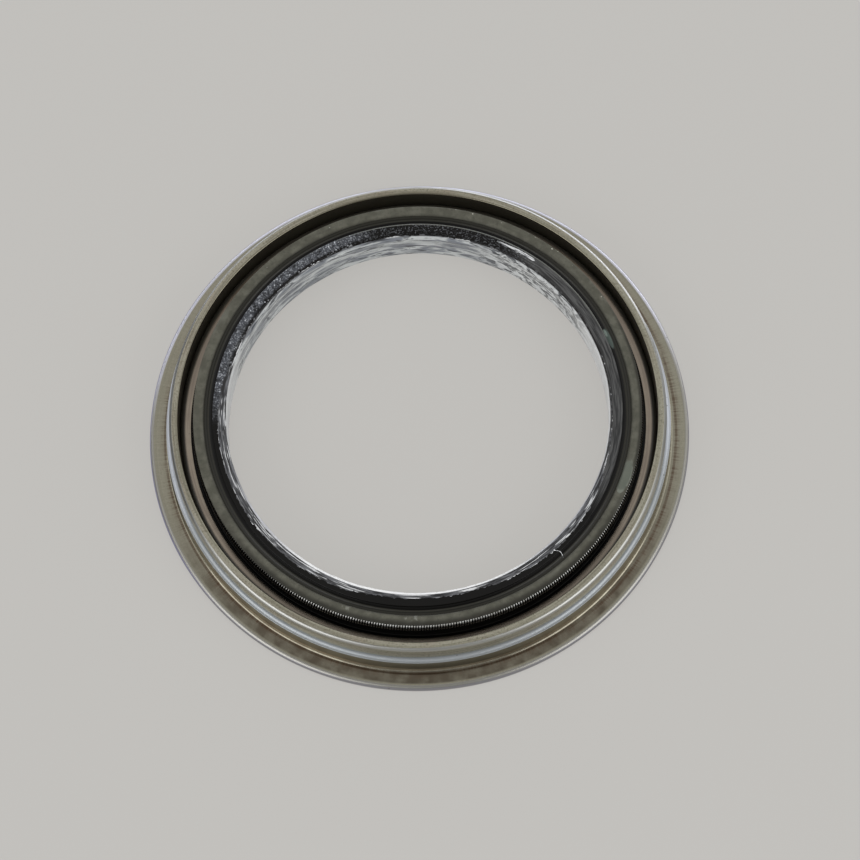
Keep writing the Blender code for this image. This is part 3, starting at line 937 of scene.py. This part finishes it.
def grease_white():
    """Thicker bearing grease in small pads: white and wet, with grey streaks round the axis."""
    material, tree, shader = start_material("white_bearing_grease", Roughness=0.22)
    _, turn, radius, _ = ring_places(tree)
    streaks = patches(tree, round_the_ring(tree, turn, radius, 9.0, 6.0), 1.0, 0.42, 0.56, 4.0, 0.5)
    tree.links.new(lay_coat(tree, "#4c4e51", "#dcdddd", streaks), shader.inputs["Base Color"])
    return material


def pale_floor():
    """Even matt paper that glows a little, for the camera and the steel only, so its shadow is faint."""
    material, tree, shader = start_material("pale_floor", Roughness=0.95, Specular_IOR_Level=0.1)
    place = add_node(tree, "ShaderNodeTexCoord", output="Object")
    fibre = add_node(tree, "ShaderNodeTexNoise", {"Vector": place, "Scale": 6.0, "Detail": 2.0})
    tree.links.new(lay_coat(tree, "#c8c6c2", "#cccac6", fibre), shader.inputs["Base Color"])
    seen = add_node(tree, "ShaderNodeLightPath").node
    looked_at = seen.outputs["Is Camera Ray"]
    for ray in ("Is Glossy Ray", "Is Transmission Ray"):
        looked_at = add_node(
            tree, "ShaderNodeMath", {0: looked_at, 1: seen.outputs[ray]}, operation="MAXIMUM"
        )
    share = add_node(tree, "ShaderNodeMath", {0: looked_at, 1: 0.8}, operation="MULTIPLY")
    glow = add_node(tree, "ShaderNodeEmission", {"Color": linear("#c1bfbb"), "Strength": 1.0})
    surface = add_node(tree, "ShaderNodeMixShader", {0: share, 1: shader.outputs[0], 2: glow})
    tree.links.new(surface, tree.nodes["Material Output"].inputs["Surface"])
    return material


# Camera: where the photograph puts the rim's centre, and how the view leans
FRAME_PIXELS = 860
RIM_CENTRE_PIXEL = (417.4, 413.3)
PIXEL = 0.1304 * MM
VIEW_TILT = math.radians(21.05)
VIEW_ROLL = math.radians(4.52)
VIEW_DISTANCE_PIXELS = 4000
SENSOR = 36.0

# Light: watts that make a square metre of a flat light as bright as white paper, and the floor's width
WATTS_FOR_WHITE = 4
FLOOR_WIDTH = 4.0


def make_camera():
    """Place the camera above the near side of the flange, leaning as in the photograph."""
    back = Vector((0, -math.sin(VIEW_TILT), math.cos(VIEW_TILT)))
    level_right = Vector((1, 0, 0))
    level_up = back.cross(level_right)
    right = level_right * math.cos(VIEW_ROLL) - level_up * math.sin(VIEW_ROLL)
    up = level_right * math.sin(VIEW_ROLL) + level_up * math.cos(VIEW_ROLL)
    across = (RIM_CENTRE_PIXEL[0] - FRAME_PIXELS / 2) * PIXEL
    above = (FRAME_PIXELS / 2 - RIM_CENTRE_PIXEL[1]) * PIXEL
    distance = VIEW_DISTANCE_PIXELS * PIXEL
    place = Vector((0, 0, RIM_HEIGHT)) - right * across - up * above + back * distance
    data = bpy.data.cameras.new("camera")
    data.sensor_width = SENSOR
    data.lens = SENSOR * VIEW_DISTANCE_PIXELS / FRAME_PIXELS
    data.clip_start = 0.01
    data.clip_end = 10
    camera = bpy.data.objects.new("camera", data)
    axes = Matrix((right, up, back)).transposed()
    camera.matrix_world = Matrix.Translation(place) @ axes.to_4x4()
    bpy.context.scene.collection.objects.link(camera)
    bpy.context.scene.camera = camera


def soft_light(name, direction, distance, size, brightness, color):
    """Hang a flat soft light that faces the seal; its brightness is 1 where it looks like white paper."""
    azimuth, elevation = (math.radians(angle) for angle in direction)
    place = distance * Vector((
        math.cos(elevation) * math.cos(azimuth),
        math.cos(elevation) * math.sin(azimuth),
        math.sin(elevation),
    ))
    data = bpy.data.lights.new(name, "AREA")
    data.shape = "RECTANGLE"
    data.size, data.size_y = size
    data.energy = brightness * WATTS_FOR_WHITE * size[0] * size[1]
    data.color = linear(color)[:3]
    light = bpy.data.objects.new(name, data)
    light.location = place
    light.rotation_mode = "QUATERNION"
    light.rotation_quaternion = place.to_track_quat("Z", "Y")
    light.visible_camera = False
    bpy.context.scene.collection.objects.link(light)
    return light


def make_surround():
    """Light the seal evenly from all round: dim in front, brighter behind and from high on both sides."""
    world = bpy.data.worlds.new("surround")
    world.use_nodes = True
    bpy.context.scene.world = world
    tree = world.node_tree
    direction = add_node(tree, "ShaderNodeTexCoord", output="Generated")
    parts = add_node(tree, "ShaderNodeSeparateXYZ", {0: direction}).node
    aside = add_node(tree, "ShaderNodeMath", {0: parts.outputs["X"]}, operation="ABSOLUTE")
    behind = band(tree, parts.outputs["Y"], 0.3, 2.0, 0.55)
    sides = band(tree, aside, 0.6, 2.0, 0.35)
    high = band(tree, parts.outputs["Z"], 0.75, 2.0, 0.3)
    level = lay_coat(tree, 0.38, 0.62, behind)
    level = lay_coat(tree, level, 1.15, sides, high)
    # Glow of the pale table round the horizon: weaker in front
    low = band(tree, parts.outputs["Z"], -2.0, 0.03, 0.14)
    back = band(tree, parts.outputs["Y"], 0.0, 2.0, 0.5)
    level = lay_coat(tree, level, lay_coat(tree, 0.68, 1.15, back), low)
    # Dark corner of the room, behind at the left
    level = lay_coat(tree, level, 0.2, sector(tree, direction, 150.0, 24.0, 16.0))
    surface = tree.nodes["Background"]
    surface.inputs["Color"].default_value = linear("#fbfbfb")
    tree.links.new(level, surface.inputs["Strength"])


def make_stage():
    """Pale floor, soft lights and an even surround."""
    bpy.ops.object.select_all(action="DESELECT")
    bpy.ops.mesh.primitive_plane_add(size=FLOOR_WIDTH, location=(0, 0, 0))
    floor = bpy.context.object
    floor.name = "floor"
    floor.data.materials.append(pale_floor())
    make_surround()
    soft_light("right_softbox", (-36, 32), 0.9, (0.66, 0.8), 1.3, "#fbfcff")
    soft_light("left_softbox", (-143, 32), 0.9, (0.74, 0.8), 1.3, "#fbfcff")
    soft_light("low_right_strip", (40, 5), 1.2, (0.8, 0.2), 2.6, "#f2f5ff")
    soft_light("low_left_strip", (143, 5), 1.2, (0.75, 0.16), 2.2, "#eef2ff")
    soft_light("back_softbox", (90, 11), 1.3, (1.6, 0.36), 1.35, "#eaf0ff")


bpy.context.scene.view_settings.view_transform = "Standard"
case = make_case()
insert = make_insert()
lip = make_lip()
spring = make_spring()
bore_grease = make_bore_grease()
upper_pad = make_grease_pad("upper_grease_pad", (49.0, 62.5), (0.1, 0.7), 0.035)
lower_pad = make_grease_pad("lower_grease_pad", (307.0, 315.5), (0.52, 0.86), 0.07)
fibre = make_fibre(
    "stuck_fibre",
    [(308.1, 26.1, 8.27), (308.7, 26.4, 8.32), (309.2, 26.75, 8.32), (309.1, 27.05, 8.3), (308.6, 27.6, 8.2)],
)
case.data.materials.append(case_steel())
insert.data.materials.append(insert_steel())
lip.data.materials.append(lip_rubber())
spring.data.materials.append(spring_wire())
bore_grease.data.materials.append(grease())
white = grease_white()
for piece in (upper_pad, lower_pad, fibre):
    piece.data.materials.append(white)
make_camera()
make_stage()
